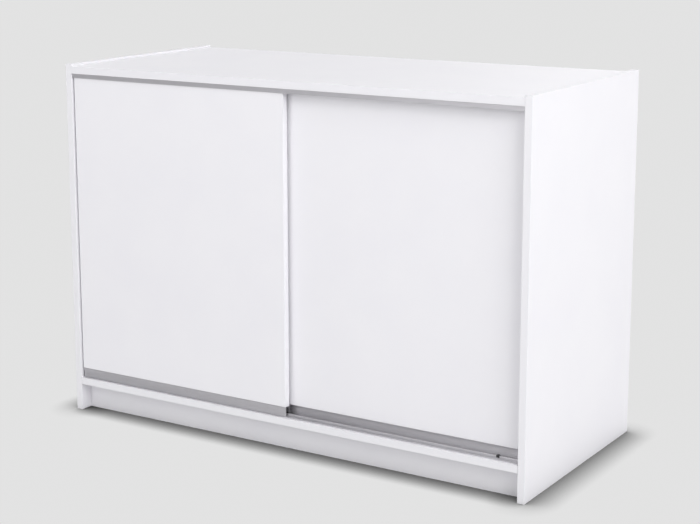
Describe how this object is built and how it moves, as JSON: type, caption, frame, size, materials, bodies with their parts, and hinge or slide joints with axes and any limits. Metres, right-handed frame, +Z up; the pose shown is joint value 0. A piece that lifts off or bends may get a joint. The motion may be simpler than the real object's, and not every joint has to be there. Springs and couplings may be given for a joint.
{
  "type": "sliding door cabinet",
  "caption": "Low white board cabinet with two flat sliding doors on aluminium tracks, a recessed plinth and shelves behind a centre divider.",
  "frame": {"origin": "on the floor under the centre of the cabinet's box", "axes": "+X to the cabinet's right along its width, +Y to its back, +Z up"},
  "size_m": [1.312, 0.598, 0.92],
  "materials": {
    "white_melamine": "satin white melamine on chipboard, white edge banding",
    "anodised_aluminium": "satin anodised extrusion with fine lengthwise lines",
    "steel": "zinc plated steel",
    "zinc_fitting": "plain die-cast zinc",
    "black_plastic": "black moulded plastic, fine grain",
    "nylon": "natural nylon, smooth"
  },
  "bodies": {
    "carcass": {"side_panel_left": "white_melamine", "side_panel_right": "white_melamine", "bottom_panel": "white_melamine", "top_panel": "white_melamine", "back_panel": "white_melamine", "plinth_front": "white_melamine", "plinth_back": "white_melamine", "plinth_support": "white_melamine", "center_divider": "white_melamine", "shelf_left": "white_melamine", "shelf_right": "white_melamine", "bottom_panel_cam_front_left": "zinc_fitting", "bottom_panel_cam_front_right": "zinc_fitting", "bottom_panel_cam_back_left": "zinc_fitting", "bottom_panel_cam_back_right": "zinc_fitting", "top_panel_cam_front_left": "zinc_fitting", "top_panel_cam_front_right": "zinc_fitting", "top_panel_cam_back_left": "zinc_fitting", "top_panel_cam_back_right": "zinc_fitting", "shelf_pin_left_outer_front": "steel", "shelf_pin_left_outer_back": "steel", "shelf_pin_left_inner_front": "steel", "shelf_pin_left_inner_back": "steel", "shelf_pin_right_outer_front": "steel", "shelf_pin_right_outer_back": "steel", "shelf_pin_right_inner_front": "steel", "shelf_pin_right_inner_back": "steel", "top_track": "anodised_aluminium", "bottom_track": "anodised_aluminium", "track_stop_front_left": "black_plastic", "track_stop_front_right": "black_plastic", "track_stop_back_left": "black_plastic", "track_stop_back_right": "black_plastic"},
    "front_door": {"front_door_panel": "white_melamine", "front_door_profile": "anodised_aluminium", "front_door_plug_left": "black_plastic", "front_door_glide_left": "nylon", "front_door_left_carrier": "black_plastic", "front_door_left_axle": "steel", "front_door_plug_right": "black_plastic", "front_door_glide_right": "nylon", "front_door_right_carrier": "black_plastic", "front_door_right_axle": "steel"},
    "rear_door": {"rear_door_panel": "white_melamine", "rear_door_profile": "anodised_aluminium", "rear_door_plug_left": "black_plastic", "rear_door_glide_left": "nylon", "rear_door_left_carrier": "black_plastic", "rear_door_left_axle": "steel", "rear_door_plug_right": "black_plastic", "rear_door_glide_right": "nylon", "rear_door_right_carrier": "black_plastic", "rear_door_right_axle": "steel"},
    "front_door_left_roller": {"front_door_left_roller": "nylon"},
    "front_door_right_roller": {"front_door_right_roller": "nylon"},
    "rear_door_left_roller": {"rear_door_left_roller": "nylon"},
    "rear_door_right_roller": {"rear_door_right_roller": "nylon"}
  },
  "joints": [
    {"name": "front_door_slide", "type": "slide", "parent": "carcass", "child": "front_door", "axis": [1, 0, 0], "range_m": [0, 0.624]},
    {"name": "rear_door_slide", "type": "slide", "parent": "carcass", "child": "rear_door", "axis": [1, 0, 0], "range_m": [-0.624, 0]},
    {"name": "front_door_left_roller_spin", "type": "hinge", "parent": "front_door", "child": "front_door_left_roller", "pos_m": [-0.5728, -0.2838, 0.1035], "axis": [0, 1, 0], "continuous": true},
    {"name": "front_door_right_roller_spin", "type": "hinge", "parent": "front_door", "child": "front_door_right_roller", "pos_m": [-0.0513, -0.2838, 0.1035], "axis": [0, 1, 0], "continuous": true},
    {"name": "rear_door_left_roller_spin", "type": "hinge", "parent": "rear_door", "child": "rear_door_left_roller", "pos_m": [0.0513, -0.258, 0.1035], "axis": [0, 1, 0], "continuous": true},
    {"name": "rear_door_right_roller_spin", "type": "hinge", "parent": "rear_door", "child": "rear_door_right_roller", "pos_m": [0.5728, -0.258, 0.1035], "axis": [0, 1, 0], "continuous": true}
  ],
  "couplings": [
    {"joint": "front_door_left_roller_spin", "follows": "front_door_slide", "rad_per_m": 192.31},
    {"joint": "front_door_right_roller_spin", "follows": "front_door_slide", "rad_per_m": 192.31},
    {"joint": "rear_door_left_roller_spin", "follows": "rear_door_slide", "rad_per_m": 192.31},
    {"joint": "rear_door_right_roller_spin", "follows": "rear_door_slide", "rad_per_m": 192.31}
  ]
}
